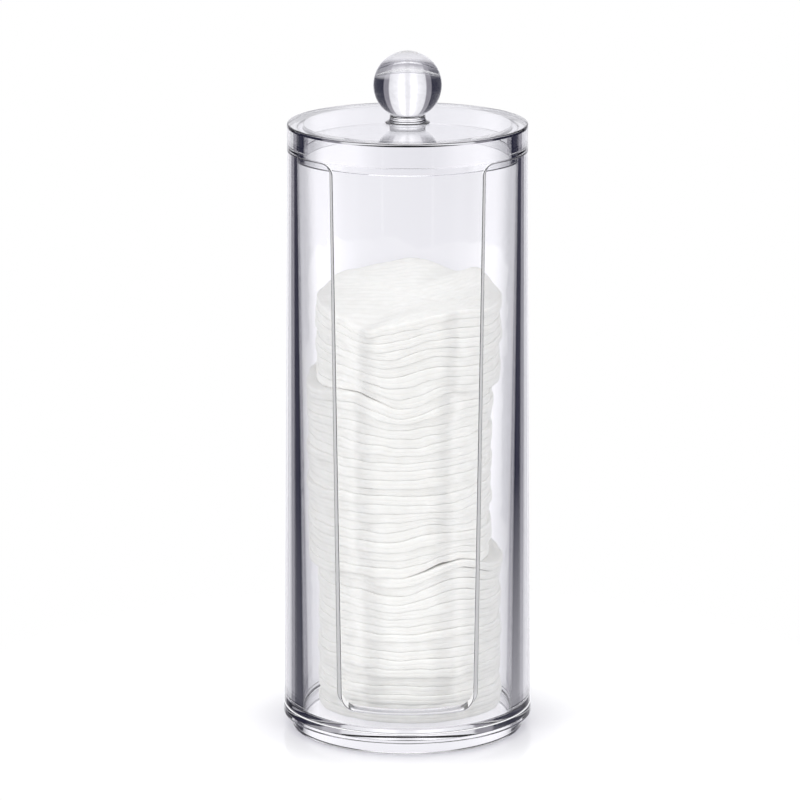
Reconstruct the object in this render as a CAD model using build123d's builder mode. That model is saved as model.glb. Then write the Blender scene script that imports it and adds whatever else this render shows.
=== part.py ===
"""Clear round canister for cotton pads: slotted tube, flanged base, lift-off lid with a ball knob, pad stack.

All lengths are millimetres. +Z is up, the table is z = 0, the axis of the tube is X = Y = 0, and the
open slot faces -Y.
"""

import os
from math import cos, sin, sqrt

from build123d import *

# ---------------------------------------------------------------- driving dimensions: the base
foot_height = 4.2  # how far the foot ring lifts the flange off the table
foot_inset = 2.65  # how far the foot ring stands in from the flange's rim
foot_width = 3.5  # radial width of the foot ring
flange_overhang = 0.3  # how far the flange stands out past the tube
flange_thickness = 3.4
flange_edge_radius = 0.6

# ---------------------------------------------------------------- driving dimensions: the tube
tube_length = 178.3
pad_diameter = 57.5  # the pads that the tube is made for
pad_room = 4.65  # radial room round a pad at the foot of the bore
bore_draft = 1.1  # radius that the bore gains from its foot to its rim
rim_wall = 3.0  # wall at the rim
tube_draft = 1.75  # radius that the outside gains from its rim to its foot, so the wall thickens
rim_edge_radius = 0.4

slot_rim_width = 46.0  # straight across, at the rim
slot_foot_width = 41.0  # straight across, at the bottom of the slot
slot_lip_height = 6.3  # wall left standing under the slot
slot_corner_radius = 4.2
slot_rim_radius = 3.6  # the slot's sides roll outwards into the rim
slot_rim_crease = 0.3  # how far above the rim that roll would level out

# ---------------------------------------------------------------- driving dimensions: the lid and knob
lid_height = 8.1  # visible band between the tube's rim and the top of the lid
lid_plate = 1.8
lid_edge_radius = 0.5
lid_ring_width = 5.1  # radial width of the ring under the plate
spigot_depth = 2.7  # how far the ring reaches down into the tube
spigot_lead = 0.5  # chamfer that guides the lid into the tube

ball_diameter = 21.3
ball_rise = 11.7  # from the lid's top face to the middle of the ball
neck_diameter = 11.2
neck_sweep = 1.3  # the neck's foot sweeps out by this much
collar_lip = 0.2
peg_diameter = 5.0  # glued into a blind socket in the lid's plate
peg_length = 0.9

# ---------------------------------------------------------------- driving dimensions: the pads
pad_thickness = 2.87
lower_count = 17  # number of pads in each of three handfuls, set down a little to one side of the next
middle_count = 20  # number of pads
upper_count = 9  # number of pads
shift_lower = 0.8
shift_middle = -2.6
shift_upper = 0.3
pad_sway = 0.35  # how far single pads wander from their handful
sway_step = 1.7  # turn of the sway from one pad to the next, in radians
pad_setback = 2.6  # the stack stands this far behind the tube's axis
stack_lean = 7.0  # the back of the top pad is this much higher than its front

# ---------------------------------------------------------------- clearances
fit_clearance = 0.2  # radial: the lid in the tube
glue_clearance = 0.05  # round the knob's peg and at its end

# ---------------------------------------------------------------- levels and radii that follow
flange_level = foot_height + flange_thickness
rim_level = flange_level + tube_length
lid_level = rim_level + lid_height
lid_ceiling = lid_level - lid_plate
spigot_level = rim_level - spigot_depth
ball_level = lid_level + ball_rise

bore_foot_radius = pad_diameter / 2 + pad_room
rim_radius = bore_foot_radius + bore_draft + rim_wall
tube_foot_radius = rim_radius + tube_draft
flange_radius = tube_foot_radius + flange_overhang
foot_radius = flange_radius - foot_inset
slot_level = flange_level + slot_lip_height


def tube_bore(level):
    """Inner radius of the tube at a level."""
    return bore_foot_radius + bore_draft * (level - flange_level) / tube_length


os.makedirs("parts", exist_ok=True)


def finish(part, label):
    """Label one finished piece and write it to its own file."""
    part.label = label
    export_step(part, f"parts/{label}.step")


# ================================================================ base plate
with BuildPart() as base_plate:
    with BuildSketch(Plane.XY) as foot_ring:
        Circle(foot_radius)
        Circle(foot_radius - foot_width, mode=Mode.SUBTRACT)
    extrude(amount=foot_height)
    with BuildSketch(Plane.XY.offset(foot_height)) as flange:
        Circle(flange_radius)
    extrude(amount=flange_thickness)
    flange_rims = base_plate.edges().filter_by(GeomType.CIRCLE).group_by(SortBy.RADIUS)[-1]
    fillet(flange_rims, radius=flange_edge_radius)

finish(base_plate.part, "base_plate")

# ================================================================ slotted tube
with BuildPart() as tube:
    with BuildSketch(Plane.XZ) as wall_section:
        with BuildLine():
            Polyline(
                (tube_bore(flange_level), flange_level),
                (tube_foot_radius, flange_level),
                (rim_radius, rim_level),
                (tube_bore(rim_level), rim_level),
                close=True,
            )
        make_face()
    revolve(axis=Axis.Z)
    rim_edges = tube.edges().filter_by(GeomType.CIRCLE).group_by(Axis.Z)[-1]
    fillet(rim_edges, radius=rim_edge_radius)

    # The slot is pulled straight out of the front. It narrows downwards, and both its sides roll
    # outwards into the rim, which they meet at a shallow crease.
    shoulder_level = rim_level + slot_rim_crease
    with BuildSketch(Plane.XZ) as slot_outline:
        half_shoulder = slot_rim_width / 2 + 2 * slot_rim_radius
        with BuildLine():
            Polyline(
                (-slot_foot_width / 2, slot_level),
                (slot_foot_width / 2, slot_level),
                (slot_rim_width / 2, shoulder_level),
                (half_shoulder, shoulder_level),
                (half_shoulder, rim_level + lid_height),
                (-half_shoulder, rim_level + lid_height),
                (-half_shoulder, shoulder_level),
                (-slot_rim_width / 2, shoulder_level),
                close=True,
            )
        make_face()
        fillet(slot_outline.vertices().group_by(Axis.Y)[0], radius=slot_corner_radius)
        at_shoulder = slot_outline.vertices().filter_by_position(
            Axis.Y, shoulder_level - slot_rim_crease, shoulder_level + slot_rim_crease
        )
        shoulders = at_shoulder.sort_by(lambda corner: abs(corner.X))[:2]
        fillet(shoulders, radius=slot_rim_radius)
    extrude(amount=2 * tube_foot_radius, mode=Mode.SUBTRACT)

finish(tube.part, "tube")

# ================================================================ lid
spigot_radius = tube_bore(rim_level) - fit_clearance
ring_bore_radius = rim_radius - lid_ring_width

with BuildPart() as lid:
    with BuildSketch(Plane.XZ) as lid_section:
        with BuildLine():
            Polyline(
                (0, lid_ceiling),
                (ring_bore_radius, lid_ceiling),
                (ring_bore_radius, spigot_level),
                (spigot_radius - spigot_lead, spigot_level),
                (spigot_radius, spigot_level + spigot_lead),
                (spigot_radius, rim_level),
                (rim_radius, rim_level),
                (rim_radius, lid_level),
                (0, lid_level),
                close=True,
            )
        make_face()
        top_corner = lid_section.vertices().group_by(Axis.Y)[-1].sort_by(Axis.X)[-1]
        fillet(top_corner, radius=lid_edge_radius)
    revolve(axis=Axis.Z)
    with Locations(Plane.XY.offset(lid_level)):
        Hole(peg_diameter / 2 + glue_clearance, depth=peg_length + glue_clearance)

finish(lid.part, "lid")

# ================================================================ ball knob
# The neck meets the ball where its own radius cuts the sphere, and sweeps out into the collar below.
neck_radius = neck_diameter / 2
collar_radius = neck_radius + neck_sweep
ball_radius = ball_diameter / 2
neck_end = ball_level - sqrt(ball_radius**2 - neck_radius**2)
sweep_start = lid_level + collar_lip
peg_end = lid_level - peg_length

with BuildPart() as lid_knob:
    with BuildSketch(Plane.XZ) as knob_section:
        with BuildLine():
            Polyline(
                (0, ball_level + ball_radius),
                (0, peg_end),
                (peg_diameter / 2, peg_end),
                (peg_diameter / 2, lid_level),
                (collar_radius, lid_level),
                (collar_radius, sweep_start),
            )
            sweep = RadiusArc(
                (collar_radius, sweep_start), (neck_radius, sweep_start + neck_sweep), -neck_sweep
            )
            Line(sweep @ 1, (neck_radius, neck_end))
            ThreePointArc((neck_radius, neck_end), (ball_radius, ball_level), (0, ball_level + ball_radius))
        make_face()
    revolve(axis=Axis.Z)

finish(lid_knob.part, "lid_knob")

# ================================================================ stack of cotton pads
# The stack stands level on the base plate and leans back more with each pad, so a pad is a disc
# whose faces tilt with its height. Neighbours share a face.
pad_count = lower_count + middle_count + upper_count
stack_height = pad_count * pad_thickness


def pad_shift(index):
    """Sideways place of the handful that a pad belongs to."""
    if index < lower_count:
        return shift_lower
    if index < lower_count + middle_count:
        return shift_middle
    return shift_upper


def pad_face(level):
    """The tilted plane between two pads, at a height above the floor on the stack's middle line."""
    rise = stack_lean * level / stack_height
    return Plane(
        origin=(0, pad_setback, flange_level + level),
        x_dir=(1, 0, 0),
        z_dir=(0, -rise, pad_diameter),
    )


for index in range(pad_count):
    lower_level = index * pad_thickness
    upper_level = lower_level + pad_thickness
    centre = (
        pad_shift(index) + pad_sway * sin(sway_step * index),
        pad_setback + pad_sway * cos(sway_step * index),
    )
    with BuildPart() as pad:
        with BuildSketch(Plane.XY.offset(flange_level + lower_level - stack_lean)) as outline:
            with Locations(centre):
                Circle(pad_diameter / 2)
        extrude(amount=pad_thickness + 2 * stack_lean)
        split(bisect_by=pad_face(lower_level), keep=Keep.TOP)
        split(bisect_by=pad_face(upper_level), keep=Keep.BOTTOM)
    top_most = index == pad_count - 1
    finish(pad.part, "top_pad" if top_most else f"pad_{index + 1:02d}")
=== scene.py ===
"""The looks of a clear round canister for cotton pads.

The construction is loaded as a fixed frame. The slotted tube with its flanged base and the lid with its ball
knob are made again as smooth closed meshes, every pad is modelled as soft pressed cotton, and a small product
studio stands round them.
"""

import logging
import math
from dataclasses import dataclass, field
from enum import Enum

import bpy
import numpy as np
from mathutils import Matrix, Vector


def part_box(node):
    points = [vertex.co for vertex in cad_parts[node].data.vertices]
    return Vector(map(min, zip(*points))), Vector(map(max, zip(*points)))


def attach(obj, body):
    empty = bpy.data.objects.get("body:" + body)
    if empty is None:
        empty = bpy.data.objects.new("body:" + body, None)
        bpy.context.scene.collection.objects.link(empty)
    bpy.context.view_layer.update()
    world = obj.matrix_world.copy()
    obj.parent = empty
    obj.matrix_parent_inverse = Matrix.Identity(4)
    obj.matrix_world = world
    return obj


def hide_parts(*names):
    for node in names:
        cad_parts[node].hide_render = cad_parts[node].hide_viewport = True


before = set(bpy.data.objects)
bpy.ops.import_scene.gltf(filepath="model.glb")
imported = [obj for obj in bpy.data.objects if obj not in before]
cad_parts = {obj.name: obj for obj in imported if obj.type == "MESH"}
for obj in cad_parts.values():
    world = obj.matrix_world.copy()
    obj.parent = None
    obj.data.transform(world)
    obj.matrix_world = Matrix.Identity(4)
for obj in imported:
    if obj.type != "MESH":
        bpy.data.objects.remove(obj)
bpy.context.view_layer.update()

log = logging.getLogger("canister")

MM = 0.001
LONGEST_STEP = 3 * MM  # longest straight step along a section


# ---------------------------------------------------------------------------- outlines and meshes
@dataclass(frozen=True)
class Corner:
    """A corner of a turned piece's section.

    Args:
        radius: Distance from the axis, in metres.
        level: Height above the table, in metres.
        rounding: Radius that softens the corner, 0 where it stays as it is.
    """

    radius: float
    level: float
    rounding: float = 0.0


@dataclass
class Outline:
    """A section as points with the outward normal of each, both as (radius, level) pairs."""

    points: list[np.ndarray] = field(default_factory=list)
    normals: list[np.ndarray] = field(default_factory=list)

    def add(self, point: np.ndarray, normal: np.ndarray) -> None:
        """Append one point and its outward normal."""
        self.points.append(np.asarray(point, float))
        self.normals.append(np.asarray(normal, float))

    def add_arc(self, centre: np.ndarray, radius: float, start: float, end: float, steps: int) -> None:
        """Append an arc whose normals point away from its centre.

        Args:
            centre: The arc's centre.
            radius: The arc's radius.
            start: First angle, in radians from the outward direction.
            end: Last angle.
            steps: Number of chords.
        """
        for angle in np.linspace(start, end, steps + 1):
            ray = np.array([math.cos(angle), math.sin(angle)])
            self.add(np.asarray(centre, float) + radius * ray, ray)


def unit(vector: np.ndarray) -> np.ndarray:
    """The vector at length 1."""
    return vector / np.linalg.norm(vector)


def rounded_outline(corners: list[Corner], steps: int = 7) -> Outline:
    """Round the corners of a section that is travelled with its material on the left.

    Args:
        corners: The section's corners, in order.
        steps: Chords in each rounding.

    Returns:
        The outline, with a smooth run of normals through each rounding.
    """
    outline = Outline()
    places = [np.array([corner.radius, corner.level]) for corner in corners]
    for index, corner in enumerate(corners):
        here = places[index]
        before = unit(places[index - 1] - here) if index else None
        after = unit(places[index + 1] - here) if index + 1 < len(corners) else None
        if before is None or after is None:
            along = after if before is None else -before
            outline.add(here, np.array([along[1], -along[0]]))
            continue
        half_angle = math.acos(float(np.clip(before @ after, -1, 1))) / 2
        reach = corner.rounding / math.tan(half_angle)
        centre = here + unit(before + after) * corner.rounding / math.sin(half_angle)
        start = here + before * reach - centre
        end = here + after * reach - centre
        turn = math.atan2(start[0] * end[1] - start[1] * end[0], float(start @ end))
        for step in range(steps + 1):
            angle = turn * step / steps
            spoke = np.array(
                [
                    start[0] * math.cos(angle) - start[1] * math.sin(angle),
                    start[0] * math.sin(angle) + start[1] * math.cos(angle),
                ]
            )
            outward = unit(spoke) if turn > 0 else -unit(spoke)
            outline.add(centre + spoke, outward)
    return outline


def refined(outline: Outline, longest: float) -> Outline:
    """Divide the long runs of an outline.

    Args:
        outline: The section to divide.
        longest: Longest step that is left, in metres.

    Returns:
        The divided outline.
    """
    fine = Outline()
    for index in range(len(outline.points) - 1):
        first, second = outline.points[index], outline.points[index + 1]
        pieces = max(1, math.ceil(float(np.linalg.norm(second - first)) / longest))
        for piece in range(pieces):
            share = piece / pieces
            fine.add(
                first + share * (second - first),
                unit((1 - share) * outline.normals[index] + share * outline.normals[index + 1]),
            )
    fine.add(outline.points[-1], outline.normals[-1])
    return fine


def mesh_object(
    name: str, points: np.ndarray, faces: list[tuple[int, ...]], normals: np.ndarray | None = None
) -> bpy.types.Object:
    """Make a smooth object from points and faces, and link it to the scene.

    Args:
        name: The object's name.
        points: Vertex positions, in metres.
        faces: Corner indices of each face.
        normals: One outward normal for each vertex, or None to let the faces decide.

    Returns:
        The new object.
    """
    mesh = bpy.data.meshes.new(name)
    mesh.from_pydata([tuple(point) for point in points], [], faces)
    mesh.shade_smooth()
    if normals is not None:
        mesh.normals_split_custom_set_from_vertices([tuple(normal) for normal in normals])
    mesh.validate(clean_customdata=False)
    mesh.update()
    made = bpy.data.objects.new(name, mesh)
    bpy.context.scene.collection.objects.link(made)
    return made


def capped_faces(rings: int, around: int) -> list[tuple[int, ...]]:
    """Join a stack of closed rings between a first and a last point on the axis.

    Args:
        rings: Number of rings.
        around: Number of points in each ring.

    Returns:
        The faces, for points that run from the first point over the rings to the last point.
    """
    faces: list[tuple[int, ...]] = []
    last = 1 + rings * around
    top = last - around
    for step in range(around):
        onward = (step + 1) % around
        faces.append((0, 1 + onward, 1 + step))
        for low in range(1, top, around):
            high = low + around
            faces.append((low + step, low + onward, high + onward, high + step))
        faces.append((top + step, top + onward, last))
    return faces


def turned(name: str, outline: Outline, around: int = 288) -> bpy.types.Object:
    """Turn an outline that starts and ends on the axis into a closed solid.

    Args:
        name: The object's name.
        outline: The section, its first and last points on the axis.
        around: Number of steps round the axis.

    Returns:
        The turned object.
    """
    angles = np.linspace(0, 2 * math.pi, around, endpoint=False)
    spokes = np.stack([np.sin(angles), -np.cos(angles)], axis=1)
    points = [np.array([[0.0, 0.0, outline.points[0][1]]])]
    normals = [np.array([[0.0, 0.0, math.copysign(1, outline.normals[0][1])]])]
    for point, normal in zip(outline.points[1:-1], outline.normals[1:-1]):
        points.append(np.column_stack([spokes * point[0], np.full(around, point[1])]))
        normals.append(np.column_stack([spokes * normal[0], np.full(around, normal[1])]))
    points.append(np.array([[0.0, 0.0, outline.points[-1][1]]]))
    normals.append(np.array([[0.0, 0.0, math.copysign(1, outline.normals[-1][1])]]))
    faces = capped_faces(len(outline.points) - 2, around)
    return mesh_object(name, np.vstack(points), faces, np.vstack(normals))


# ---------------------------------------------------------------------- sizes shared by the clear pieces
@dataclass
class CanisterSizes:
    """Levels and radii of the canister, in metres. What the frame's boxes give is read from them."""

    foot_width: float = 3.5 * MM
    foot_height: float = 4.2 * MM
    bore_rim: float = 34.5 * MM
    bore_foot: float = 33.4 * MM
    fit_clearance: float = 0.2 * MM
    foot_radius: float = 36.9 * MM
    slot_half_rim: float = 23.0 * MM
    slot_half_foot: float = 20.5 * MM
    slot_lip: float = 6.3 * MM
    slot_corner: float = 4.2 * MM
    slot_shoulder: float = 3.6 * MM
    lid_plate: float = 1.8 * MM
    lid_ring: float = 5.1 * MM
    spigot_depth: float = 2.7 * MM
    ball_radius: float = 10.65 * MM
    neck_radius: float = 5.6 * MM
    neck_sweep: float = 1.3 * MM
    collar_lip: float = 0.2 * MM
    bond: float = 0.04 * MM

    def __post_init__(self) -> None:
        """Read the levels and outer radii from the frame."""
        tube_low, tube_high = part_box("tube")
        base_low, base_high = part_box("base_plate")
        _, lid_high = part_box("lid")
        _, knob_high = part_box("lid_knob")
        self.table = base_low.z
        self.flange_radius = base_high.x
        self.floor = base_high.z
        self.flange_top = tube_low.z
        self.rim = tube_high.z
        self.tube_foot = tube_high.x
        self.tube_rim = lid_high.x
        self.lid_top = lid_high.z
        self.ball_top = knob_high.z
        self.ball_centre = self.ball_top - self.ball_radius

    def outer(self, level: np.ndarray) -> np.ndarray:
        """Outer radius of the tube at a level."""
        share = (level - self.flange_top) / (self.rim - self.flange_top)
        return self.tube_foot + (self.tube_rim - self.tube_foot) * share

    def bore(self, level: np.ndarray) -> np.ndarray:
        """Inner radius of the tube at a level."""
        share = (level - self.flange_top) / (self.rim - self.flange_top)
        return self.bore_foot + (self.bore_rim - self.bore_foot) * share


# ---------------------------------------------------------------------------- the clear pieces
@dataclass
class SlottedBody:
    """The drafted tube with its open front slot and the flanged plate that it is bonded to.

    The body is a stack of closed rings. Along the free edge each ring runs through the slot's bottom and
    side and on round the rim; below the slot the rings are plain circles that close on the axis.
    """

    sizes: CanisterSizes
    outer_edge: float = 0.34 * MM
    bore_edge: float = 0.10 * MM
    foot_edge: float = 0.3 * MM
    flange_edge: float = 0.35 * MM
    small_edge: float = 0.3 * MM
    groove_depth: float = 0.5 * MM
    groove_rise: float = 0.03 * MM
    groove_edge: float = 0.02 * MM
    floor_corner: float = 0.8 * MM
    shoulder_run: float = 1.02
    edge_step: float = 2.5 * MM
    corner_steps: int = 12
    satin_share: float = 0.2
    flange_foot: float = 1 * MM
    rows: int = 14
    rim_steps: int = 150
    turn_steps: int = 6
    free_edge: list[int] = field(default_factory=list, init=False)

    def half_outline(self) -> tuple[np.ndarray, np.ndarray, np.ndarray]:
        """Run from the middle of the slot's bottom to the middle of the rim at the back.

        Returns:
            Slot points as (across, level), the directions into the wall, and the shares of the rim.
        """
        s = self.sizes
        lowest = s.flange_top + s.slot_lip
        rise = s.rim - lowest
        lean = math.atan2(s.slot_half_rim - s.slot_half_foot, rise)
        tangent = s.slot_shoulder * math.tan((math.pi / 2 - lean) / 2)
        outline = rounded_outline(
            [
                Corner(0.0, lowest),
                Corner(s.slot_half_foot, lowest, s.slot_corner),
                Corner(s.slot_half_rim, s.rim, s.slot_shoulder),
                Corner(s.slot_half_rim + tangent * self.shoulder_run, s.rim),
            ],
            steps=self.corner_steps,
        )
        outline = refined(outline, self.edge_step)
        shares = np.linspace(0, 1, self.rim_steps + 1)[1:]
        return np.array(outline.points), np.array(outline.normals), shares

    def ring(self, inset: float, outward: bool, depth: float) -> tuple[np.ndarray, np.ndarray, np.ndarray]:
        """Place the half outline on the wall.

        Args:
            inset: Distance from the free edge into the wall.
            outward: True to measure depth from the outer face, False from the bore.
            depth: Distance below that face.

        Returns:
            Angles round the axis, radii and levels.
        """
        slot, into, shares = self.half_outline()
        across = slot[:, 0] + inset * into[:, 0]
        levels = slot[:, 1] + inset * into[:, 1]
        levels = np.concatenate([levels, np.full(len(shares), self.sizes.rim - inset)])
        radii = self.sizes.outer(levels) - depth if outward else self.sizes.bore(levels) + depth
        angles = np.arcsin(across / radii[: len(across)])
        rest = angles[-1] + (math.pi - angles[-1]) * shares
        return np.concatenate([angles, rest]), radii, levels

    def normals_at(self, angles: np.ndarray, tilt: float, outward: bool) -> np.ndarray:
        """Outward normals along the free edge.

        Args:
            angles: Angles round the axis.
            tilt: Turn from the wall's face towards the free edge, in radians.
            outward: True on the outer face, False on the bore.

        Returns:
            One normal for each angle.
        """
        _, into, _ = self.half_outline()
        inwards = np.zeros((len(angles), 3))
        inwards[: len(into), 0] = into[:, 0]
        inwards[: len(into), 2] = into[:, 1]
        inwards[len(into):, 2] = -1
        sign = 1 if outward else -1
        face = sign * np.column_stack([np.sin(angles), -np.cos(angles), np.zeros(len(angles))])
        mixed = math.cos(tilt) * face - math.sin(tilt) * inwards
        return mixed / np.linalg.norm(mixed, axis=1)[:, None]

    @staticmethod
    def closed(angles: np.ndarray, radii: np.ndarray, levels: np.ndarray) -> np.ndarray:
        """Points of a whole ring, mirrored across the slot's middle plane.

        Args:
            angles: Angles round the axis, from the front to the back.
            radii: Radius at each angle.
            levels: Level at each angle.

        Returns:
            The ring's points, each once.
        """
        half = np.column_stack([radii * np.sin(angles), -radii * np.cos(angles), levels])
        mirrored = half[1:-1][::-1] * np.array([-1, 1, 1])
        return np.vstack([half, mirrored])

    @staticmethod
    def closed_normals(half: np.ndarray) -> np.ndarray:
        """Normals of a whole ring from those of its half."""
        return np.vstack([half, half[1:-1][::-1] * np.array([-1, 1, 1])])

    def outside(self) -> Outline:
        """Section from the axis under the plate, over foot ring and flange, to the tube's outer face.

        Returns:
            The section, from the axis outwards.
        """
        s = self.sizes
        inner_foot = s.foot_radius - s.foot_width
        groove = s.tube_foot - self.groove_depth
        outline = rounded_outline(
            [
                Corner(0.0, s.foot_height),
                Corner(inner_foot, s.foot_height, self.small_edge),
                Corner(inner_foot, s.table, self.small_edge),
                Corner(s.foot_radius, s.table, self.small_edge),
                Corner(s.foot_radius, s.foot_height, self.small_edge),
                Corner(s.flange_radius, s.foot_height, self.small_edge),
                Corner(s.flange_radius, s.flange_top, self.flange_edge),
                Corner(groove, s.flange_top + self.groove_rise, self.groove_edge),
                Corner(s.tube_foot, s.flange_top + 2 * self.groove_rise, self.foot_edge),
                Corner(s.tube_foot, s.flange_top + s.slot_lip),
            ]
        )
        outline.points.pop()
        outline.normals.pop()
        return refined(outline, LONGEST_STEP)

    def inside(self) -> Outline:
        """Section from the bore down round its corner and in along the floor.

        Returns:
            The section, from the bore to the axis.
        """
        s = self.sizes
        bore = float(s.bore(np.array(s.floor)))
        outline = rounded_outline(
            [
                Corner(bore, s.floor + s.slot_lip),
                Corner(bore, s.floor, self.floor_corner),
                Corner(0.0, s.floor),
            ]
        )
        outline.points.pop(0)
        outline.normals.pop(0)
        return refined(outline, LONGEST_STEP)

    def satin_faces(self, cut: np.ndarray, first_cut: int, section: list[np.ndarray]) -> list[int]:
        """Pick the satin faces: the slot's sides, the rim and the flange's upper rounding.

        Args:
            cut: Points of the first ring on the free edge.
            first_cut: That ring's number.
            section: Points of the outer section, one for each ring from the first.

        Returns:
            Numbers of the faces.
        """
        s = self.sizes
        around = len(cut)
        above_bottom = s.flange_top + s.slot_lip + self.satin_share * s.slot_corner
        faces = [first_cut * around + step for step in range(around) if cut[step, 2] > above_bottom]
        above_foot = s.foot_height + self.flange_foot
        side = [ring for ring, (x, z) in enumerate(section) if x > s.tube_foot and z > above_foot]
        for ring in side[1:]:
            faces += range(ring * around, (ring + 1) * around)
        return faces

    def build(self) -> bpy.types.Object:
        """Sweep the rings into one closed body, from the axis below to the axis inside.

        Returns:
            The body, riding in place of the tube and the base plate.
        """
        s = self.sizes
        rings: list[np.ndarray] = []
        normals: list[np.ndarray] = []

        def keep(angles: np.ndarray, radii: np.ndarray, levels: np.ndarray, half: np.ndarray) -> None:
            """Keep a whole ring, given half of it and that half's normals."""
            rings.append(self.closed(angles, radii, levels))
            normals.append(self.closed_normals(half))

        def keep_turned(angles: np.ndarray, point: np.ndarray, normal: np.ndarray) -> None:
            """Keep a level ring through one point of a section, with that point's normal."""
            count = len(angles)
            half = np.column_stack(
                [np.sin(angles) * normal[0], -np.cos(angles) * normal[0], np.full(count, normal[1])]
            )
            keep(angles, np.full(count, point[0]), np.full(count, point[1]), half)

        def keep_rounding(edge: float, outward: bool, turns: np.ndarray) -> None:
            """Keep the rings of the rounding between one face of the wall and its free edge."""
            for turn in turns:
                inset = edge * (1 - math.sin(turn))
                depth = edge * (1 - math.cos(turn))
                place = self.ring(inset, outward, depth)
                keep(*place, self.normals_at(place[0], turn, outward))

        turns = np.linspace(0, math.pi / 2, self.turn_steps + 1)
        outer_angles, _, outer_levels = self.ring(self.outer_edge, True, 0.0)
        outside, inside = self.outside(), self.inside()
        for point, normal in zip(outside.points[1:], outside.normals[1:]):
            keep_turned(outer_angles, point, normal)
        flat = self.normals_at(outer_angles, 0.0, True)
        low = outside.points[-1][1]
        for row in range(1, self.rows):
            levels = low + (outer_levels - low) * row / self.rows
            keep(outer_angles, s.outer(levels), levels, flat)
        keep_rounding(self.outer_edge, True, turns)
        first_cut = len(rings) - 1
        keep_rounding(self.bore_edge, False, turns[::-1])
        inner_angles, _, inner_levels = self.ring(self.bore_edge, False, 0.0)
        flat = self.normals_at(inner_angles, 0.0, False)
        low = inside.points[0][1]
        for row in range(1, self.rows):
            levels = inner_levels + (low - inner_levels) * row / self.rows
            keep(inner_angles, s.bore(levels), levels, flat)
        for point, normal in zip(inside.points[:-1], inside.normals[:-1]):
            keep_turned(inner_angles, point, normal)

        around = len(rings[0])
        faces: list[tuple[int, ...]] = []
        last = 1 + len(rings) * around
        for ring in range(len(rings) - 1):
            here = 1 + ring * around
            for step in range(around):
                onward = (step + 1) % around
                faces.append((here + step, here + onward, here + around + onward, here + around + step))
        self.free_edge = self.satin_faces(rings[first_cut], first_cut, outside.points[1:])
        top = last - around
        for step in range(around):
            onward = (step + 1) % around
            faces.append((0, 1 + onward, 1 + step))
            faces.append((top + step, top + onward, last))
        under = np.array([[0.0, 0.0, s.foot_height]])
        over = np.array([[0.0, 0.0, s.floor]])
        points = np.vstack([under, *rings, over])
        made = mesh_object("body_clear", points, faces, np.vstack([[[0, 0, -1]], *normals, [[0, 0, 1]]]))
        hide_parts("tube", "base_plate")
        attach(made, "canister")
        return made


@dataclass
class LidWithKnob:
    """The lid and its ball knob. Their clear bond can't be seen, so they are turned as one solid."""

    sizes: CanisterSizes
    top_edge: float = 0.5 * MM
    seat_edge: float = 0.25 * MM
    inner_edge: float = 0.12 * MM
    sweep_rise: float = 0.4
    sweep_rounding: float = 0.8
    ball_steps: int = 72

    def build(self) -> bpy.types.Object:
        """Turn the lid from the middle of its ceiling to the top of the ball.

        Returns:
            The lid with its knob, riding in place of both.
        """
        s = self.sizes
        ring_bore = s.tube_rim - s.lid_ring
        ceiling = s.lid_top - s.lid_plate
        spigot = float(s.bore(np.array(s.rim))) - s.fit_clearance
        low = s.rim - s.spigot_depth
        seat = s.rim + s.bond
        neck_top = s.ball_centre - math.sqrt(s.ball_radius**2 - s.neck_radius**2)
        sweep = s.lid_top + s.collar_lip
        collar = s.neck_radius + s.neck_sweep
        fine_edge = self.seat_edge / 3
        outline = rounded_outline(
            [
                Corner(0.0, ceiling),
                Corner(ring_bore, ceiling, self.inner_edge),
                Corner(ring_bore, low, self.seat_edge),
                Corner(spigot, low, self.inner_edge),
                Corner(spigot, seat, fine_edge),
                Corner(s.tube_rim, seat, self.seat_edge),
                Corner(s.tube_rim, s.lid_top, self.top_edge),
                Corner(collar, s.lid_top, self.seat_edge / 2),
                Corner(collar, sweep, fine_edge),
                Corner(
                    s.neck_radius, sweep + self.sweep_rise * s.neck_sweep, self.sweep_rounding * s.neck_sweep
                ),
                Corner(s.neck_radius, neck_top),
            ]
        )
        outline.points.pop()
        outline.normals.pop()
        start = math.atan2(neck_top - s.ball_centre, s.neck_radius)
        outline.add_arc(
            np.array([0.0, s.ball_centre]), s.ball_radius, start, math.pi / 2, self.ball_steps
        )
        made = turned("lid_clear", refined(outline, LONGEST_STEP))
        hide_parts("lid", "lid_knob")
        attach(made, "lid")
        return made


# ---------------------------------------------------------------------------- the cotton pads
@dataclass(frozen=True)
class Swell:
    """A place where the layers of the stack bulge up or sag.

    Args:
        azimuth: Degrees from the front towards the right.
        height: Millimetres above the floor of the canister.
        lift: Millimetres up, or down where negative.
        wide: Half spread round the stack, in degrees.
        tall: Half spread up the stack, in millimetres.
    """

    azimuth: float
    height: float
    lift: float
    wide: float
    tall: float

    def at(self, azimuths: np.ndarray, height: float) -> np.ndarray:
        """Lift of the layers.

        Args:
            azimuths: Directions from the front towards the right, in radians.
            height: Height above the floor, in metres.

        Returns:
            The lift at each azimuth, in metres.
        """
        away = (azimuths - math.radians(self.azimuth) + math.pi) % (2 * math.pi) - math.pi
        across = away / math.radians(self.wide)
        up = (height - self.height * MM) / (self.tall * MM)
        return self.lift * MM * np.exp(-(across**2) - up**2)


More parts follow.
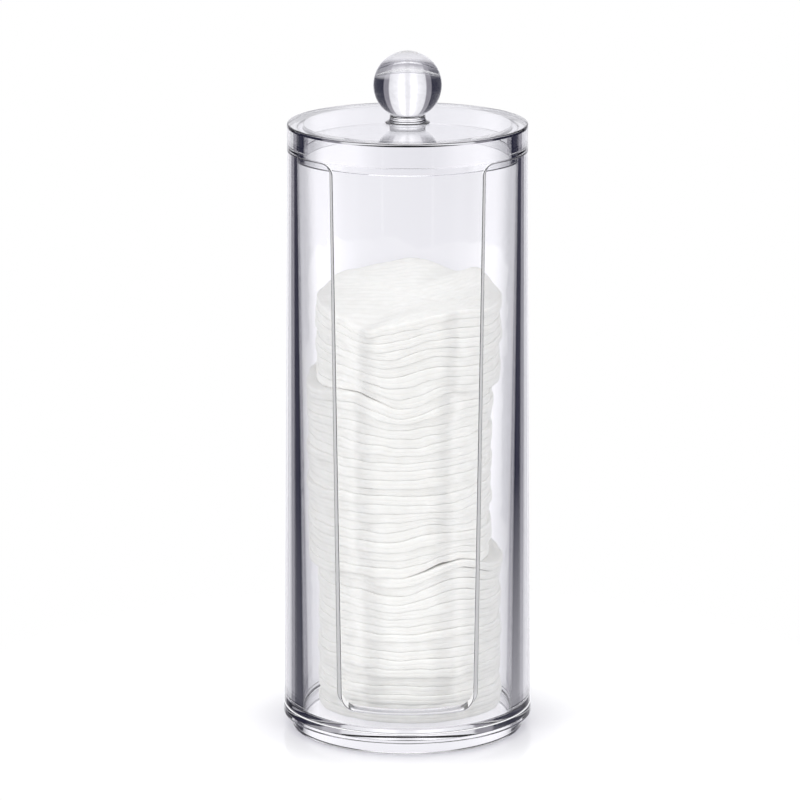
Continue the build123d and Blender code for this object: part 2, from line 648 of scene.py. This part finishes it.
class Waviness:
    """Smooth, repeatable waves: how far the layers wander up and down, and how uneven a rim is."""

    def __init__(self, seed: int, orders: range, size: float, drift: float) -> None:
        """Draw the waves.

        Args:
            seed: Start of the random draws.
            orders: Numbers of waves round the stack.
            size: Typical height of the lowest order, in metres.
            drift: Distance up the stack over which a wave changes, in metres.
        """
        draws = np.random.default_rng(seed)
        self.orders = np.array(list(orders))
        self.sizes = size * draws.uniform(0.5, 1.0, len(self.orders)) / np.sqrt(self.orders / orders.start)
        self.phases = draws.uniform(0, 2 * math.pi, (3, len(self.orders)))
        self.drifts = drift * draws.uniform(0.6, 1.6, (2, len(self.orders)))

    def at(self, azimuths: np.ndarray, height: float) -> np.ndarray:
        """Height of the waves.

        Args:
            azimuths: Directions from the front towards the right, in radians.
            height: Height above the floor, in metres.

        Returns:
            The waves' height at each azimuth, in metres.
        """
        swing = np.sin(height / self.drifts[0] + self.phases[0])
        turn = self.phases[1] + np.sin(height / self.drifts[1] + self.phases[2])
        rounds = np.cos(np.outer(azimuths, self.orders) + turn)
        return rounds @ (self.sizes * swing)


@dataclass
class CottonStack:
    """The pads, each a soft disc of two plies between two wavy faces that it shares with its neighbours."""

    sizes: CanisterSizes
    loose_pads: int = 45
    spread: float = 0.45 * MM
    clearance: float = 0.15 * MM
    around: int = 240
    lean: float = 7.0 * MM
    plane_size: float = 57.5 * MM
    edge_fall: float = 0.17 * MM
    ply_crease: float = 0.12 * MM
    rib_pitch: float = 3.0 * MM
    rib_height: float = 0.13 * MM
    proud: float = 0.17 * MM
    bend_start: float = 8 * MM
    bend_softness: float = 5 * MM
    bend_size: float = 6 * MM
    fold_depth: float = 0.55 * MM
    fold_offset: float = 1.5 * MM
    fold_width: float = 2.2 * MM
    fold_length: float = 20 * MM
    fold_heading: tuple[float, float] = (0.55, 0.84)
    wave_size: float = 0.42 * MM
    wave_drift: float = 9 * MM
    ripple_size: float = 0.07 * MM
    ripple_drift: float = 2.1 * MM
    unevenness: float = 0.12 * MM
    proud_span: tuple[float, float] = (-1.5, 1.7)
    settling_pads: int = 5
    rim_wave: float = 0.16 * MM
    rim_seed: int = 100
    inner_shares: tuple[float, ...] = (0.12, 0.3, 0.5, 0.68, 0.82, 0.92)
    ribbed_span: tuple[float, float] = (0.02, 0.96)
    ribbed_rings: int = 72
    edge_rings: int = 19
    edge_power: float = 3.2
    crease_width: float = 0.13
    rib_fade: float = 3 * MM
    hairline: float = 0.02
    swells: tuple[Swell, ...] = (
        Swell(-25, 132, -3.6, 17, 9),
        Swell(30, 131, 1.8, 26, 10),
        Swell(128, 131, 1.6, 15, 8),
        Swell(149, 131, -2.0, 11, 8),
        Swell(178, 131, 1.2, 20, 9),
        Swell(-115, 131, -1.2, 22, 9),
        Swell(15, 119, 2.6, 18, 8),
        Swell(-14, 117, -1.0, 16, 8),
        Swell(-3, 106, -2.6, 17, 7),
        Swell(26, 108, 1.4, 14, 7),
        Swell(-32, 104, 1.6, 15, 9),
        Swell(2, 92, -0.9, 14, 4),
        Swell(-20, 78, -0.8, 15, 4),
        Swell(22, 80, 0.7, 18, 5),
        Swell(14, 63, 2.0, 17, 6),
        Swell(-8, 58, -1.2, 17, 6),
        Swell(30, 46, 3.4, 24, 10),
        Swell(-6, 44, -1.4, 20, 8),
        Swell(34, 28, 1.6, 22, 8),
        Swell(-30, 22, 0.7, 22, 8),
    )
    partings: tuple[Swell, ...] = (
        Swell(-27, 105.1, 1.0, 11, 1.2),
        Swell(25, 105.1, 0.7, 8, 1.2),
        Swell(-20, 110.8, 0.8, 9, 1.2),
        Swell(-33, 48.3, 0.6, 10, 1.2),
        Swell(19, 48.3, 1.0, 13, 1.2),
        Swell(17, 88, 0.4, 9, 1.2),
        Swell(-24, 76.7, 0.5, 8, 1.2),
    )

    def __post_init__(self) -> None:
        """Find the pads in the frame, from the bottom up."""
        self.floor = self.sizes.floor
        self.nodes = [f"pad_{number:02d}" for number in range(1, self.loose_pads + 1)] + ["top_pad"]
        self.boxes = [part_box(node) for node in self.nodes]
        _, top_high = self.boxes[-1]
        self.height = top_high.z - self.lean / 2 - self.floor
        self.pitch = self.height / len(self.nodes)
        self.setback = float(np.mean([(low.y + high.y) / 2 for low, high in self.boxes]))
        self.waves = Waviness(seed=11, orders=range(2, 9), size=self.wave_size, drift=self.wave_drift)
        self.ripples = Waviness(seed=5, orders=range(9, 27), size=self.ripple_size, drift=self.ripple_drift)
        draws = np.random.default_rng(3)
        self.uneven = draws.normal(0, self.unevenness, len(self.nodes) + 1)
        lowest, highest = (bound * self.proud for bound in self.proud_span)
        self.stand_out = np.clip(draws.normal(0, self.proud, len(self.nodes)), lowest, highest)

    def face(self, index: int, x: np.ndarray, y: np.ndarray) -> np.ndarray:
        """Level of the wavy face under a pad.

        Args:
            index: Number of pads below the face.
            x: Places across.
            y: Places from front to back.

        Returns:
            The level at each place.
        """
        height = self.pitch * index
        back = y - self.setback
        azimuths = np.arctan2(x, -back)
        reach = np.clip(np.hypot(x, back) / (self.plane_size / 2), 0, 1.2) ** 1.7
        settled = min(1.0, index / self.settling_pads)
        waves = self.waves.at(azimuths, height) + self.ripples.at(azimuths, height)
        for swell in self.swells:
            waves = waves + swell.at(azimuths, height)
        waves = waves + (self.uneven[index] if 0 < index < len(self.nodes) else 0)
        tilt = self.lean * height / self.height / self.plane_size
        return self.floor + height + tilt * back + settled * reach * waves

    def gape(self, index: int, x: np.ndarray, y: np.ndarray) -> np.ndarray:
        """Half the gap that opens towards the rim between two pads that don't quite meet.

        Args:
            index: Number of pads below the gap.
            x: Places across.
            y: Places from front to back.

        Returns:
            Half the gap at each place.
        """
        back = y - self.setback
        azimuths = np.arctan2(x, -back)
        reach = np.clip(np.hypot(x, back) / (self.plane_size / 2), 0, 1) ** 6
        return sum(parting.at(azimuths, self.pitch * index) for parting in self.partings) * reach / 2

    def ribs(self, x: np.ndarray, y: np.ndarray) -> np.ndarray:
        """Height of the pressed ribs and of the one fold on the top pad's face.

        Args:
            x: Places across.
            y: Places from front to back.

        Returns:
            The height at each place.
        """
        bend = -self.bend_size * np.log1p(np.exp((x - self.bend_start) / self.bend_softness))
        ribs = self.rib_height * np.cos(2 * math.pi * (y + bend) / self.rib_pitch)
        right, back = self.fold_heading
        across = (right * x + back * (y - self.setback) + self.fold_offset) / self.fold_width
        return ribs - self.fold_depth * np.exp(-(across**2)) * np.exp(-((x / self.fold_length) ** 4))

    def pad(self, index: int) -> bpy.types.Object:
        """Model one pad.

        Args:
            index: Number of pads below it.

        Returns:
            The pad, riding in place of its node.
        """
        node = self.nodes[index]
        low, high = self.boxes[index]
        centre = np.array([(low.x + high.x) / 2, (low.y + high.y) / 2])
        size = (high.x - low.x) / 2
        topmost = node == "top_pad"
        azimuths = np.linspace(0, 2 * math.pi, self.around, endpoint=False)
        rim = Waviness(seed=self.rim_seed + index, orders=range(2, 30), size=self.rim_wave, drift=1.0)
        spokes = np.column_stack([np.sin(azimuths), -np.cos(azimuths)])
        rims = size + self.spread + rim.at(azimuths, 0.7) + self.stand_out[index]
        reach = spokes @ centre
        room = self.sizes.bore(np.array(self.floor + self.pitch * index)) - self.clearance
        rims = np.minimum(rims, np.sqrt(reach**2 + room**2 - centre @ centre) - reach)
        ribbed_shares = np.linspace(*self.ribbed_span, self.ribbed_rings)

        points: list[np.ndarray] = []

        def layer(radii: np.ndarray, share: float, ribbed: bool = False) -> None:
            """Keep a ring at some radii and a share of the pad's thickness."""
            places = centre + spokes * radii[:, None]
            under = self.face(index, *places.T) + self.gape(index, *places.T)
            over = self.face(index + 1, *places.T) - self.gape(index + 1, *places.T)
            levels = under + (over - under) * (self.hairline + (1 - 2 * self.hairline) * share)
            if ribbed:
                fade = np.clip((rims - radii) / self.rib_fade, 0, 1)
                levels = levels + fade * self.ribs(places[:, 0], places[:, 1])
            points.append(np.column_stack([places, levels]))

        for share in self.inner_shares:
            layer(rims * share, 0.0)
        for fall in np.linspace(-1, 1, self.edge_rings):
            crease = self.ply_crease * math.exp(-((fall / self.crease_width) ** 2))
            layer(rims - self.edge_fall * abs(fall) ** self.edge_power - crease, 0.5 + 0.5 * fall)
        for share in (ribbed_shares if topmost else self.inner_shares)[::-1]:
            layer(rims * share, 1.0, topmost)

        faces = capped_faces(len(points), self.around)
        first, last = points[0].mean(axis=0), points[-1].mean(axis=0)
        made = mesh_object(f"cotton_{node}", np.vstack([first[None], *points, last[None]]), faces)
        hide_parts(node)
        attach(made, "top_pad" if topmost else "pad_stack")
        return made

    def build(self) -> list[bpy.types.Object]:
        """Model every pad.

        Returns:
            The pads, from the bottom up.
        """
        pads = [self.pad(index) for index in range(len(self.nodes))]
        log.info("cotton stack: %d pads, %.1f mm high", len(pads), self.height / MM)
        return pads


# ---------------------------------------------------------------------------- finishes
class Grain(Enum):
    """Shared effects that are built once as node groups."""

    FIBRES = "cotton_fibres"
    MOULDING = "moulding_ripples"


def new_group(grain: Grain, outputs: dict[str, str]) -> tuple[bpy.types.NodeTree, dict[str, bpy.types.Node]]:
    """Start a shader node group.

    Args:
        grain: The effect the group holds.
        outputs: Socket type of each output, by name.

    Returns:
        The group, and its output node under the key "out" beside its texture coordinates under "place".
    """
    tree = bpy.data.node_groups.new(grain.value, "ShaderNodeTree")
    for name, kind in outputs.items():
        tree.interface.new_socket(name, in_out="OUTPUT", socket_type=kind)
    return tree, {
        "out": tree.nodes.new("NodeGroupOutput"),
        "place": tree.nodes.new("ShaderNodeTexCoord"),
    }


def noise(
    tree: bpy.types.NodeTree, vector: bpy.types.NodeSocket, scale: float, detail: float
) -> bpy.types.NodeSocket:
    """Add a noise texture.

    Args:
        tree: The nodes to add to.
        vector: Where the texture is read.
        scale: Its scale.
        detail: Its detail.

    Returns:
        The texture's value.
    """
    node = tree.nodes.new("ShaderNodeTexNoise")
    node.inputs["Scale"].default_value = scale
    node.inputs["Detail"].default_value = detail
    tree.links.new(vector, node.inputs["Vector"])
    return node.outputs["Fac"]


def mapped(
    tree: bpy.types.NodeTree,
    value: bpy.types.NodeSocket,
    old: tuple[float, float],
    new: tuple[float, float],
) -> bpy.types.NodeSocket:
    """Add a Map Range node.

    Args:
        tree: The nodes to add to.
        value: The value to map.
        old: The span that it comes from.
        new: The span that it goes to.

    Returns:
        The mapped value.
    """
    node = tree.nodes.new("ShaderNodeMapRange")
    node.inputs["From Min"].default_value, node.inputs["From Max"].default_value = old
    node.inputs["To Min"].default_value, node.inputs["To Max"].default_value = new
    tree.links.new(value, node.inputs["Value"])
    return node.outputs["Result"]


def stretched(
    tree: bpy.types.NodeTree, vector: bpy.types.NodeSocket, scale: tuple[float, float, float]
) -> bpy.types.NodeSocket:
    """Scale a texture vector.

    Args:
        tree: The nodes to add to.
        vector: The vector to scale.
        scale: Factor along each axis.

    Returns:
        The scaled vector.
    """
    node = tree.nodes.new("ShaderNodeMapping")
    node.inputs["Scale"].default_value = scale
    tree.links.new(vector, node.inputs["Vector"])
    return node.outputs["Vector"]


def maths(
    tree: bpy.types.NodeTree,
    operation: str,
    first: bpy.types.NodeSocket | float,
    second: bpy.types.NodeSocket | float,
) -> bpy.types.NodeSocket:
    """Add a Math node.

    Args:
        tree: The nodes to add to.
        operation: What it works out.
        first: A socket or a number.
        second: A socket or a number, unused where the operation takes one.

    Returns:
        The node's value.
    """
    node = tree.nodes.new("ShaderNodeMath")
    node.operation = operation
    for socket, value in zip(node.inputs, (first, second)):
        if isinstance(value, bpy.types.NodeSocket):
            tree.links.new(value, socket)
        else:
            socket.default_value = value
    return node.outputs["Value"]


def colour_mix(tree: bpy.types.NodeTree, factor: bpy.types.NodeSocket) -> bpy.types.Node:
    """Add a colour Mix node.

    Args:
        tree: The nodes to add to.
        factor: The share of B.

    Returns:
        The node, with A and B still to be set.
    """
    node = tree.nodes.new("ShaderNodeMix")
    node.data_type = "RGBA"
    tree.links.new(factor, node.inputs["Factor"])
    return node


def add_bump(
    material: bpy.types.Material, height: bpy.types.NodeSocket, strength: float, distance: float
) -> None:
    """Let a height disturb the normal of a material's Principled node.

    Args:
        material: The material.
        height: The height's socket.
        strength: Strength of the bump.
        distance: Depth that a height of 1 stands for, in metres.
    """
    tree = material.node_tree
    bump = tree.nodes.new("ShaderNodeBump")
    bump.inputs["Strength"].default_value = strength
    bump.inputs["Distance"].default_value = distance
    tree.links.new(height, bump.inputs["Height"])
    tree.links.new(bump.outputs["Normal"], tree.nodes["Principled BSDF"].inputs["Normal"])


def fibre_group() -> bpy.types.NodeTree:
    """Build the pressed cotton: soft clumps, fine fibres and a warm uneven white.

    Returns:
        The group, with a colour, a height and a roughness.
    """
    tree, nodes = new_group(
        Grain.FIBRES,
        {"Color": "NodeSocketColor", "Height": "NodeSocketFloat", "Roughness": "NodeSocketFloat"},
    )
    place = nodes["place"].outputs["Object"]
    clumps = noise(tree, place, 260, 3)
    fibres = noise(tree, stretched(tree, place, (1, 1, 4)), 1500, 4)
    layers = noise(tree, stretched(tree, place, (0.12, 0.12, 2.2)), 900, 2)
    fibre_height = maths(tree, "MULTIPLY", fibres, 0.4)
    height = maths(tree, "ADD", fibre_height, maths(tree, "MULTIPLY", clumps, 0.15))
    height = maths(tree, "ADD", height, maths(tree, "MULTIPLY", layers, 0.35))
    ramp = tree.nodes.new("ShaderNodeValToRGB")
    ramp.color_ramp.elements[0].position = 0.3
    ramp.color_ramp.elements[0].color = (0.855, 0.85, 0.83, 1)
    ramp.color_ramp.elements[1].position = 0.7
    ramp.color_ramp.elements[1].color = (0.90, 0.895, 0.88, 1)
    tree.links.new(clumps, ramp.inputs["Fac"])
    tree.links.new(ramp.outputs["Color"], nodes["out"].inputs["Color"])
    tree.links.new(height, nodes["out"].inputs["Height"])
    tree.links.new(mapped(tree, fibres, (0.3, 0.7), (0.9, 1.0)), nodes["out"].inputs["Roughness"])
    return tree


def moulding_group() -> bpy.types.NodeTree:
    """Build the faint flow ripples and the slight haze of moulded plastic.

    Returns:
        The group, with a height and a roughness.
    """
    tree, nodes = new_group(Grain.MOULDING, {"Height": "NodeSocketFloat", "Roughness": "NodeSocketFloat"})
    place = nodes["place"].outputs["Object"]
    ripples = noise(tree, stretched(tree, place, (1, 1, 0.35)), 38, 1.5)
    haze = noise(tree, place, 120, 3)
    tree.links.new(ripples, nodes["out"].inputs["Height"])
    tree.links.new(mapped(tree, haze, (0.45, 0.75), (0.0, 0.018)), nodes["out"].inputs["Roughness"])
    return tree


@dataclass(frozen=True)
class Finish:
    """A finish that can be given to a piece."""

    name: str
    slot: str

    def shader(self, material: bpy.types.Material) -> None:
        """Fill the material's nodes."""
        raise NotImplementedError

    def material(self) -> bpy.types.Material:
        """Make the material once, and hand out the same one afterwards.

        Returns:
            The material.
        """
        made = bpy.data.materials.get(self.name)
        if made is None:
            made = bpy.data.materials.new(self.name)
            made.use_nodes = True
            self.shader(made)
        return made

    def apply(self, piece: bpy.types.Object) -> None:
        """Give a piece this finish.

        Args:
            piece: The piece.
        """
        piece.data.materials.clear()
        piece.data.materials.append(self.material())
        log.info("%s: %s", piece.name, self.name)


@dataclass(frozen=True)
class ClearPlastic(Finish):
    """Crystal clear moulded plastic. Light for the pads passes through it, less at a free edge."""

    name: str = "clear_moulded_plastic"
    slot: str = "clear_plastic"
    tint: tuple[float, float, float] = (0.995, 0.995, 1.0)
    passed: tuple[float, float, float] = (0.995, 0.995, 1.0)
    ior: float = 1.49
    ripple: float = 0.02
    ripple_depth: float = 1 * MM
    transmission: float = 1.0

    def shader(self, material: bpy.types.Material) -> None:
        """Fill the material's nodes.

        Args:
            material: The material to fill.
        """
        tree = material.node_tree
        principled = tree.nodes["Principled BSDF"]
        output = tree.nodes["Material Output"]
        principled.inputs["Base Color"].default_value = (*self.tint, 1)
        principled.inputs["Transmission Weight"].default_value = self.transmission
        principled.inputs["Metallic"].default_value = 0.0
        principled.inputs["IOR"].default_value = self.ior
        group = tree.nodes.new("ShaderNodeGroup")
        group.node_tree = bpy.data.node_groups.get(Grain.MOULDING.value) or moulding_group()
        tree.links.new(group.outputs["Roughness"], principled.inputs["Roughness"])
        add_bump(material, group.outputs["Height"], self.ripple, self.ripple_depth)

        passing = tree.nodes.new("ShaderNodeBsdfTransparent")
        passing.inputs["Color"].default_value = (*self.passed, 1)
        light = tree.nodes.new("ShaderNodeLightPath")
        mix = tree.nodes.new("ShaderNodeMixShader")
        tree.links.new(light.outputs["Is Shadow Ray"], mix.inputs["Fac"])
        tree.links.new(principled.outputs["BSDF"], mix.inputs[1])
        tree.links.new(passing.outputs["BSDF"], mix.inputs[2])
        tree.links.new(mix.outputs["Shader"], output.inputs["Surface"])


@dataclass(frozen=True)
class CutEdge(ClearPlastic):
    """Satin plastic on the slot's sides, the rim and the flange's upper edge, brightened by a painted glow.
    """

    name: str = "satin_cut_edge_painted_glow"
    tint: tuple[float, float, float] = (0.97, 0.97, 0.985)
    passed: tuple[float, float, float] = (0.35, 0.35, 0.36)
    transmission: float = 0.35
    painted_edge_glow: float = 0.24

    def shader(self, material: bpy.types.Material) -> None:
        """Fill the material's nodes, with a painted glow: emission that makes the edge look lit though it is
        no lamp.

        Args:
            material: The material to fill.
        """
        super().shader(material)
        principled = material.node_tree.nodes["Principled BSDF"]
        # painted glow: the tint shines as emission so that the satin edges look lit
        principled.inputs["Emission Color"].default_value = (*self.tint, 1)
        principled.inputs["Emission Strength"].default_value = self.painted_edge_glow

    def add_to(self, piece: bpy.types.Object, faces: list[int]) -> None:
        """Give some faces of a piece this finish besides the one it has.

        Args:
            piece: The piece.
            faces: Numbers of the faces.
        """
        piece.data.materials.append(self.material())
        for face in faces:
            piece.data.polygons[face].material_index = len(piece.data.materials) - 1
        log.info("%s: %s on %d faces", piece.name, self.name, len(faces))


@dataclass(frozen=True)
class PressedCotton(Finish):
    """Soft white cotton with short matted fibres."""

    name: str = "pressed_cotton"
    slot: str = "cotton"
    bump: float = 0.55
    bump_depth: float = 0.25 * MM
    sheen: float = 0.25

    def shader(self, material: bpy.types.Material) -> None:
        """Fill the material's nodes.

        Args:
            material: The material to fill.
        """
        tree = material.node_tree
        principled = tree.nodes["Principled BSDF"]
        group = tree.nodes.new("ShaderNodeGroup")
        group.node_tree = bpy.data.node_groups.get(Grain.FIBRES.value) or fibre_group()
        tree.links.new(group.outputs["Color"], principled.inputs["Base Color"])
        tree.links.new(group.outputs["Roughness"], principled.inputs["Roughness"])
        principled.inputs["Specular IOR Level"].default_value = 0.1
        principled.inputs["Sheen Weight"].default_value = self.sheen
        principled.inputs["Sheen Roughness"].default_value = 0.6
        principled.inputs["Subsurface Weight"].default_value = 0.35
        principled.inputs["Subsurface Radius"].default_value = (1.0, 0.95, 0.9)
        principled.inputs["Subsurface Scale"].default_value = 1.2 * MM
        add_bump(material, group.outputs["Height"], self.bump, self.bump_depth)


# ---------------------------------------------------------------------------- studio
@dataclass(frozen=True)
class Softbox:
    """A rectangular soft light.

    Args:
        name: The light's name.
        azimuth: Degrees from the front towards the right.
        distance: Metres from the object's axis.
        height: Metres above the table.
        size: Width and height, in metres.
        power: Watts.
        mirrored: True where it shows in reflections and through the plastic.
    """

    name: str
    azimuth: float
    distance: float
    height: float
    size: tuple[float, float]
    power: float
    mirrored: bool = False

    def build(self, aim: Vector) -> None:
        """Hang the light and turn it to a point.

        Args:
            aim: The point that it faces.
        """
        light = bpy.data.lights.new(self.name, "AREA")
        light.shape = "RECTANGLE"
        light.size, light.size_y = self.size
        light.energy = self.power
        hung = bpy.data.objects.new(self.name, light)
        angle = math.radians(self.azimuth)
        hung.location = (self.distance * math.sin(angle), -self.distance * math.cos(angle), self.height)
        hung.rotation_euler = (aim - hung.location).to_track_quat("-Z", "Y").to_euler()
        hung.visible_glossy = self.mirrored
        hung.visible_transmission = self.mirrored
        bpy.context.scene.collection.objects.link(hung)


@dataclass
class Studio:
    """White studio: the plastic sees a lit screen behind it, dark flags beside it and a grey front.

    Edges and tops are degrees, measured from straight behind the object or above its horizon.
    """

    floor_size: float = 0.8
    floor_colour: tuple[float, float, float] = (0.95, 0.95, 0.955)
    painted_floor_shade: tuple[float, float, float] = (0.52, 0.51, 0.57)
    floor_glow: float = 0.22
    painted_shade_reach: float = 0.022
    floor_fade: tuple[float, float] = (0.05, 0.16)
    floor_level: float = -0.00005
    middle_blend: tuple[float, float] = (1.6, 4.5)
    wide_blend: tuple[float, float] = (8.0, 13.0)
    edge_blend: float = 1.5
    screen_edge: float = 22.5
    flag_edge: float = 32.0
    screen: tuple[float, float, float] = (1.17, 1.16, 1.21)
    screen_middle: tuple[float, float, float] = (0.88, 0.875, 0.92)
    screen_wide: tuple[float, float, float] = (0.94, 0.935, 0.98)
    screen_rim: tuple[float, float, float] = (0.78, 0.775, 0.82)
    half_shade: tuple[float, float, float] = (0.26, 0.25, 0.29)
    flag: tuple[float, float, float] = (0.020, 0.020, 0.040)
    front_edge: float = 112.0
    front_blend: float = 12.0
    front: tuple[float, float, float] = (0.50, 0.50, 0.54)
    gain: float = 2.0
    patch_scale: float = 9.0
    unevenness: tuple[float, float] = (0.93, 1.05)
    backdrop_foot: tuple[float, float, float] = (0.93, 0.92, 0.97)
    foot_span: tuple[float, float] = (-0.4, 0.4)
    foot_shares: tuple[float, float] = (0.10, 0.45)
    foot_top: float = -14.3
    foot_softening: float = 4.0
    table: tuple[float, float, float] = (0.40, 0.39, 0.43)
    underside: tuple[float, float, float] = (0.88, 0.87, 0.91)
    underside_top: float = -41.0
    ceiling: tuple[float, float, float] = (0.66, 0.66, 0.71)
    table_top: float = -26.0
    flag_top: float = 40.0
    softening: float = 8.0
    ambient: float = 0.72
    lights: tuple[Softbox, ...] = (
        Softbox("left_softbox", -60, 1.3, 0.45, (0.3, 0.8), 5.6),
        Softbox("right_softbox", 60, 1.3, 0.45, (0.3, 0.8), 5.0),
        Softbox("left_rim_light", -105, 1.3, 0.35, (0.5, 0.8), 4.0),
        Softbox("right_rim_light", 105, 1.3, 0.35, (0.5, 0.8), 3.6),
        Softbox("overhead_softbox", -18, 0.35, 1.35, (1.0, 0.45), 1.7, True),
    )

    def floor(self) -> None:
        """Lay the pale floor, with painted contact shade that darkens its colour and glow close to the
        object; it fades out and isn't seen through it.
        """
        half = self.floor_size / 2
        corners = [(-half, -half, 0.0), (half, -half, 0.0), (half, half, 0.0), (-half, half, 0.0)]
        ground = mesh_object("studio_floor", np.array(corners), [(0, 1, 2, 3)])
        ground.location.z = self.floor_level
        ground.visible_transmission = False
        ground.visible_glossy = False
        material = bpy.data.materials.new("studio_white")
        material.use_nodes = True
        principled = material.node_tree.nodes["Principled BSDF"]
        principled.inputs["Roughness"].default_value = 0.12
        principled.inputs["Specular IOR Level"].default_value = 0.15
        principled.inputs["Emission Strength"].default_value = self.floor_glow
        tree = material.node_tree
        # painted shade: an ambient occlusion mask mixes the floor's colour and glow towards a lavender grey
        # near the object
        painted_shade_occlusion = tree.nodes.new("ShaderNodeAmbientOcclusion")
        painted_shade_occlusion.inputs["Distance"].default_value = self.painted_shade_reach
        painted_shade = colour_mix(tree, painted_shade_occlusion.outputs["AO"])
        painted_shade.inputs["A"].default_value = (*self.painted_floor_shade, 1)
        painted_shade.inputs["B"].default_value = (*self.floor_colour, 1)
        tree.links.new(painted_shade.outputs["Result"], principled.inputs["Base Color"])
        tree.links.new(painted_shade.outputs["Result"], principled.inputs["Emission Color"])
        place = tree.nodes.new("ShaderNodeTexCoord")
        away = tree.nodes.new("ShaderNodeVectorMath")
        away.operation = "LENGTH"
        tree.links.new(place.outputs["Object"], away.inputs[0])
        fade = mapped(tree, away.outputs["Value"], self.floor_fade, (1.0, 0.0))
        tree.links.new(fade, principled.inputs["Alpha"])
        ground.data.materials.append(material)

    def world(self) -> None:
        """Light the surroundings by the kind of ray.

        The camera sees white, mirrored and refracted rays see the screen and the flags, and rays that have
        left a matt surface see an even grey.
        """
        world = bpy.data.worlds.new("studio_world")
        world.use_nodes = True
        bpy.context.scene.world = world
        tree = world.node_tree
        background = tree.nodes["Background"]
        coordinates = tree.nodes.new("ShaderNodeTexCoord")
        split = tree.nodes.new("ShaderNodeSeparateXYZ")
        tree.links.new(coordinates.outputs["Generated"], split.inputs["Vector"])
        x, y = split.outputs["X"], split.outputs["Y"]
        azimuth = maths(tree, "DEGREES", maths(tree, "ARCTAN2", maths(tree, "ABSOLUTE", x, 0.0), y), 0.0)
        ramp = tree.nodes.new("ShaderNodeValToRGB")
        ramp.color_ramp.interpolation = "LINEAR"
        stops = [
            (0.0, self.screen_middle),
            (self.middle_blend[0], self.screen_middle),
            (self.middle_blend[1], self.screen),
            (self.wide_blend[0], self.screen),
            (self.wide_blend[1], self.screen_wide),
            (self.screen_edge, self.screen_rim),
            (self.screen_edge + self.edge_blend, self.half_shade),
            (self.flag_edge, self.half_shade),
            (self.flag_edge + self.edge_blend, self.flag),
            (self.front_edge, self.flag),
            (self.front_edge + self.front_blend, self.front),
            (180.0, self.front),
        ]
        elements = ramp.color_ramp.elements
        while len(elements) < len(stops):
            elements.new(1.0)
        for element, (degrees, colour) in zip(elements, stops):
            element.position = degrees / 180
            element.color = (*(part / self.gain for part in colour), 1)
        tree.links.new(maths(tree, "DIVIDE", azimuth, 180.0), ramp.inputs["Fac"])
        height = maths(tree, "DEGREES", maths(tree, "ARCSINE", split.outputs["Z"], 0.0), 0.0)
        bright = tree.nodes.new("ShaderNodeVectorMath")
        bright.operation = "SCALE"
        patches = noise(tree, coordinates.outputs["Generated"], self.patch_scale, 1)
        uneven = mapped(tree, patches, (0.3, 0.7), self.unevenness)
        tree.links.new(maths(tree, "MULTIPLY", uneven, self.gain), bright.inputs["Scale"])
        tree.links.new(ramp.outputs["Color"], bright.inputs[0])
        seen = bright.outputs["Vector"]
        foot_share = mapped(tree, x, self.foot_span, self.foot_shares)
        spans = (
            ((self.foot_top, self.foot_top - self.foot_softening), foot_share, self.backdrop_foot),
            ((self.table_top, self.table_top - self.softening), 1.0, self.table),
            ((self.underside_top, self.underside_top - self.softening), 1.0, self.underside),
            ((self.flag_top, self.flag_top + self.softening), 1.0, self.ceiling),
        )
        for span, share, colour in spans:
            factor = maths(tree, "MULTIPLY", mapped(tree, height, span, (0.0, 1.0)), share)
            blend = colour_mix(tree, factor)
            blend.inputs["B"].default_value = (*colour, 1)
            tree.links.new(seen, blend.inputs["A"])
            seen = blend.outputs["Result"]
        path = tree.nodes.new("ShaderNodeLightPath")
        clear = maths(tree, "MAXIMUM", path.outputs["Is Glossy Ray"], path.outputs["Is Transmission Ray"])
        scattered = maths(tree, "GREATER_THAN", path.outputs["Diffuse Depth"], 0.5)
        clear = maths(tree, "SUBTRACT", clear, scattered)
        clear.node.use_clamp = True
        plain = colour_mix(tree, path.outputs["Is Camera Ray"])
        plain.inputs["A"].default_value = (self.ambient, self.ambient, self.ambient * 1.01, 1)
        plain.inputs["B"].default_value = (1, 1, 1, 1)
        chosen = colour_mix(tree, clear)
        tree.links.new(plain.outputs["Result"], chosen.inputs["A"])
        tree.links.new(seen, chosen.inputs["B"])
        tree.links.new(chosen.outputs["Result"], background.inputs["Color"])
        background.inputs["Strength"].default_value = 1.0

    def build(self, aim: Vector) -> None:
        """Set up the floor, the surroundings and the lights.

        Args:
            aim: The point that the lights face.
        """
        self.floor()
        self.world()
        for light in self.lights:
            light.build(aim)
        log.info("studio: floor, surroundings and %d lights", len(self.lights))


@dataclass(frozen=True)
class ProductCamera:
    """A long lens a little above the canister, straight in front of it."""

    focal: float = 207.45
    sensor: float = 36.0
    distance: float = 1.413
    height: float = 0.4414
    aside: float = -0.00235
    pitch: float = 13.38

    def build(self) -> None:
        """Place the camera and make it the scene's."""
        camera = bpy.data.cameras.new("product_camera")
        camera.lens = self.focal
        camera.sensor_width = self.sensor
        placed = bpy.data.objects.new("product_camera", camera)
        placed.location = (self.aside, -self.distance, self.height)
        placed.rotation_euler = (math.radians(90 - self.pitch), 0, 0)
        bpy.context.scene.collection.objects.link(placed)
        bpy.context.scene.camera = placed


def main() -> None:
    """Dress the frame and set up the studio."""
    logging.basicConfig(level=logging.INFO, format="%(name)s: %(message)s")
    sizes = CanisterSizes()
    plastic = ClearPlastic()
    body = SlottedBody(sizes)
    walls = body.build()
    plastic.apply(walls)
    CutEdge().add_to(walls, body.free_edge)
    plastic.apply(LidWithKnob(sizes).build())
    cotton = PressedCotton()
    for pad in CottonStack(sizes).build():
        cotton.apply(pad)
    Studio().build(Vector((0, 0, 0.1)))
    ProductCamera().build()
    bpy.context.scene.view_settings.view_transform = "Standard"


if __name__ == "__main__":
    main()
